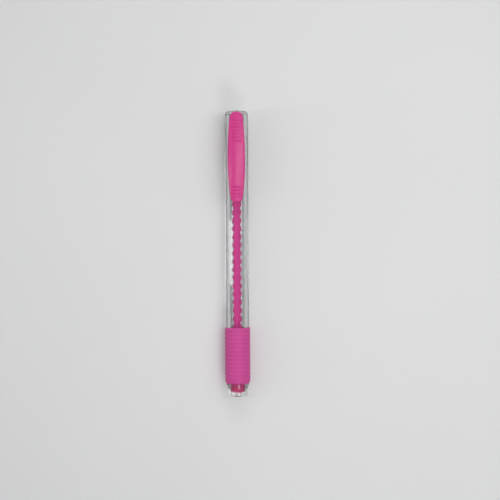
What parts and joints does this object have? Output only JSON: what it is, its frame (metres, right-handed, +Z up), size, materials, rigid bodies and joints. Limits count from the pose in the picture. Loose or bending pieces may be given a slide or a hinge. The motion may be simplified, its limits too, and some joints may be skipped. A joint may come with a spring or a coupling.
{
  "type": "retractable eraser",
  "caption": "Pen-shaped retractable eraser: a clear slotted barrel with a ribbed grip and a sliding clip that feeds the eraser stick out of the nose in clicks.",
  "frame": {"origin": "on the surface that the eraser lies on, under the middle of its length", "axes": "+Y along the barrel towards the tail, +Z up through the clip, +X across"},
  "size_m": [0.012, 0.136, 0.0149],
  "materials": {
    "clear_plastic": "clear polished moulding",
    "grip_rubber": "satin pink rubber with rounded ribs",
    "eraser_rubber": "matt pink eraser compound",
    "clip_plastic": "gloss pink moulding",
    "spring_steel": "plain spring strip"
  },
  "bodies": {
    "casing": {"barrel": "clear_plastic", "nose_tip": "clear_plastic", "tail_plug": "clear_plastic", "grip_sleeve": "grip_rubber"},
    "slider": {"eraser_holder": "clip_plastic", "clip_spring": "spring_steel"},
    "clip_lever": {"clip": "clip_plastic"},
    "stick": {"eraser_core": "eraser_rubber"}
  },
  "joints": [
    {"name": "eraser_feed", "type": "slide", "parent": "casing", "child": "slider", "axis": [0, -1, 0], "range_m": [0, 0.06966]},
    {"name": "clip_press", "type": "hinge", "parent": "slider", "child": "clip_lever", "pos_m": [0, 0.0535, 0.01315], "axis": [-1, 0, 0], "range_deg": [0, 4], "stiffness_Nm_per_rad": 0.6, "springref_deg": -1.15, "deforming": ["clip_spring"]},
    {"name": "eraser_pull", "type": "slide", "parent": "slider", "child": "stick", "axis": [0, -1, 0], "range_m": [0, 0.0188]}
  ]
}
